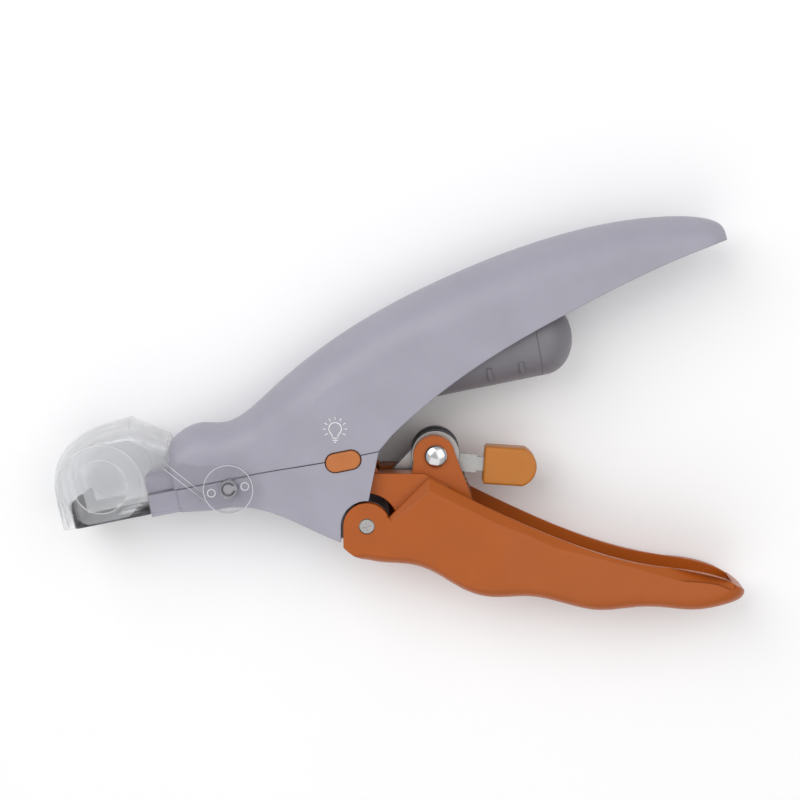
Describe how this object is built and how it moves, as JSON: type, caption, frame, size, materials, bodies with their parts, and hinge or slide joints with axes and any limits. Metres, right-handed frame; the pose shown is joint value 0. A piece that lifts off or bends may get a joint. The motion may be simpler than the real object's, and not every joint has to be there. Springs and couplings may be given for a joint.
{
  "type": "pet nail trimmer",
  "caption": "Plier-grip guillotine pet nail trimmer with a swing-up clear guard, lit nose, side light button, thumb latch and battery tube under the upper handle.",
  "frame": {"origin": "under the middle of the tool's overall box, on the plane it lies on", "axes": "+X from the nose towards the handle ends along the blade slide, +Y from the lever towards the upper handle, +Z out of the side with the light button"},
  "size_m": [0.1748, 0.0994, 0.0246],
  "materials": {
    "grey_plastic": "lilac-grey moulded ABS, fine satin texture",
    "orange_plastic": "burnt-orange moulded ABS, satin",
    "button_plastic": "dusty orange moulded ABS, satin",
    "knob_plastic": "light orange moulded ABS, satin",
    "dark_plastic": "charcoal moulded ABS, satin",
    "black_plastic": "black acetal, slightly waxy",
    "clear_plastic": "clear polystyrene, polished",
    "white_lens": "translucent epoxy",
    "green_board": "solder-masked laminate",
    "wire_red": "PVC insulated wire",
    "wire_black": "PVC insulated wire",
    "cell_jacket": "plain printed foil jacket, no marks",
    "brass_contact": "nickel-washed brass",
    "steel": "plain zinc-plated steel",
    "bright_steel": "polished nickel plate",
    "blade_steel": "black-oxide tool steel",
    "dark_steel": "blackened steel",
    "grey_metal": "grey-painted steel"
  },
  "bodies": {
    "body": {"upper_shell": "grey_plastic", "lower_shell": "grey_plastic", "fixed_blade": "blade_steel", "plate_screws": "dark_steel", "shell_screws": "dark_steel", "hood_pins": "grey_metal", "led": "white_lens", "led_leads": "wire_red", "light_board": "green_board", "push_switch": "black_plastic", "battery_tube": "dark_plastic", "front_contact": "brass_contact", "battery_leads": "wire_black", "return_spring": "steel"},
    "lever": {"lever": "orange_plastic", "pivot_sleeve": "steel", "pivot_screws": "steel", "drive_pin": "steel", "latch_rivet": "bright_steel", "latch_spacers": "black_plastic", "latch_washers": "steel", "latch_spring": "steel"},
    "blade": {"blade_carriage": "black_plastic", "moving_blade": "blade_steel", "blade_screws": "dark_steel"},
    "latch": {"latch_plate": "steel", "latch_knob": "knob_plastic"},
    "guard": {"clear_hood": "clear_plastic"},
    "button": {"light_button": "button_plastic"},
    "cell": {"battery_cell": "cell_jacket"},
    "cap": {"battery_cap": "dark_plastic", "cap_spring": "steel"}
  },
  "joints": [
    {"name": "lever_squeeze", "type": "hinge", "parent": "body", "child": "lever", "pos_m": [-0.01325, -0.0108, 0.012], "axis": [0, 0, 1], "range_deg": [0, 22], "stiffness_Nm_per_rad": 0.8, "springref_deg": -8.59},
    {"name": "blade_slide", "type": "slide", "parent": "body", "child": "blade", "axis": [-1, 0, 0], "range_m": [0, 0.0056], "deforming": ["return_spring"]},
    {"name": "latch_swing", "type": "hinge", "parent": "lever", "child": "latch", "pos_m": [0.00675, 0.0022, 0.012], "axis": [0, 0, 1], "range_deg": [-10, 0], "stiffness_Nm_per_rad": 0.05, "springref_deg": 11.46, "deforming": ["latch_spring"]},
    {"name": "guard_swing", "type": "hinge", "parent": "body", "child": "guard", "pos_m": [-0.04475, 0.005, 0.012], "axis": [0, 0, -1], "range_deg": [0, 55]},
    {"name": "button_press", "type": "slide", "parent": "body", "child": "button", "axis": [0, 0, -1], "range_m": [0, 0.0006], "stiffness_N_per_m": 2000, "springref_m": -0.0003},
    {"name": "cell_draw", "type": "slide", "parent": "body", "child": "cell", "axis": [1, 0, 0], "range_m": [0, 0.04]},
    {"name": "cap_turn", "type": "hinge", "parent": "cell", "child": "cap", "pos_m": [0.03675, 0.0255, 0.012], "axis": [1, 0, 0], "range_deg": [0, 90]}
  ],
  "couplings": [
    {"joint": "blade_slide", "follows": "lever_squeeze", "m_per_rad": 0.01443}
  ]
}
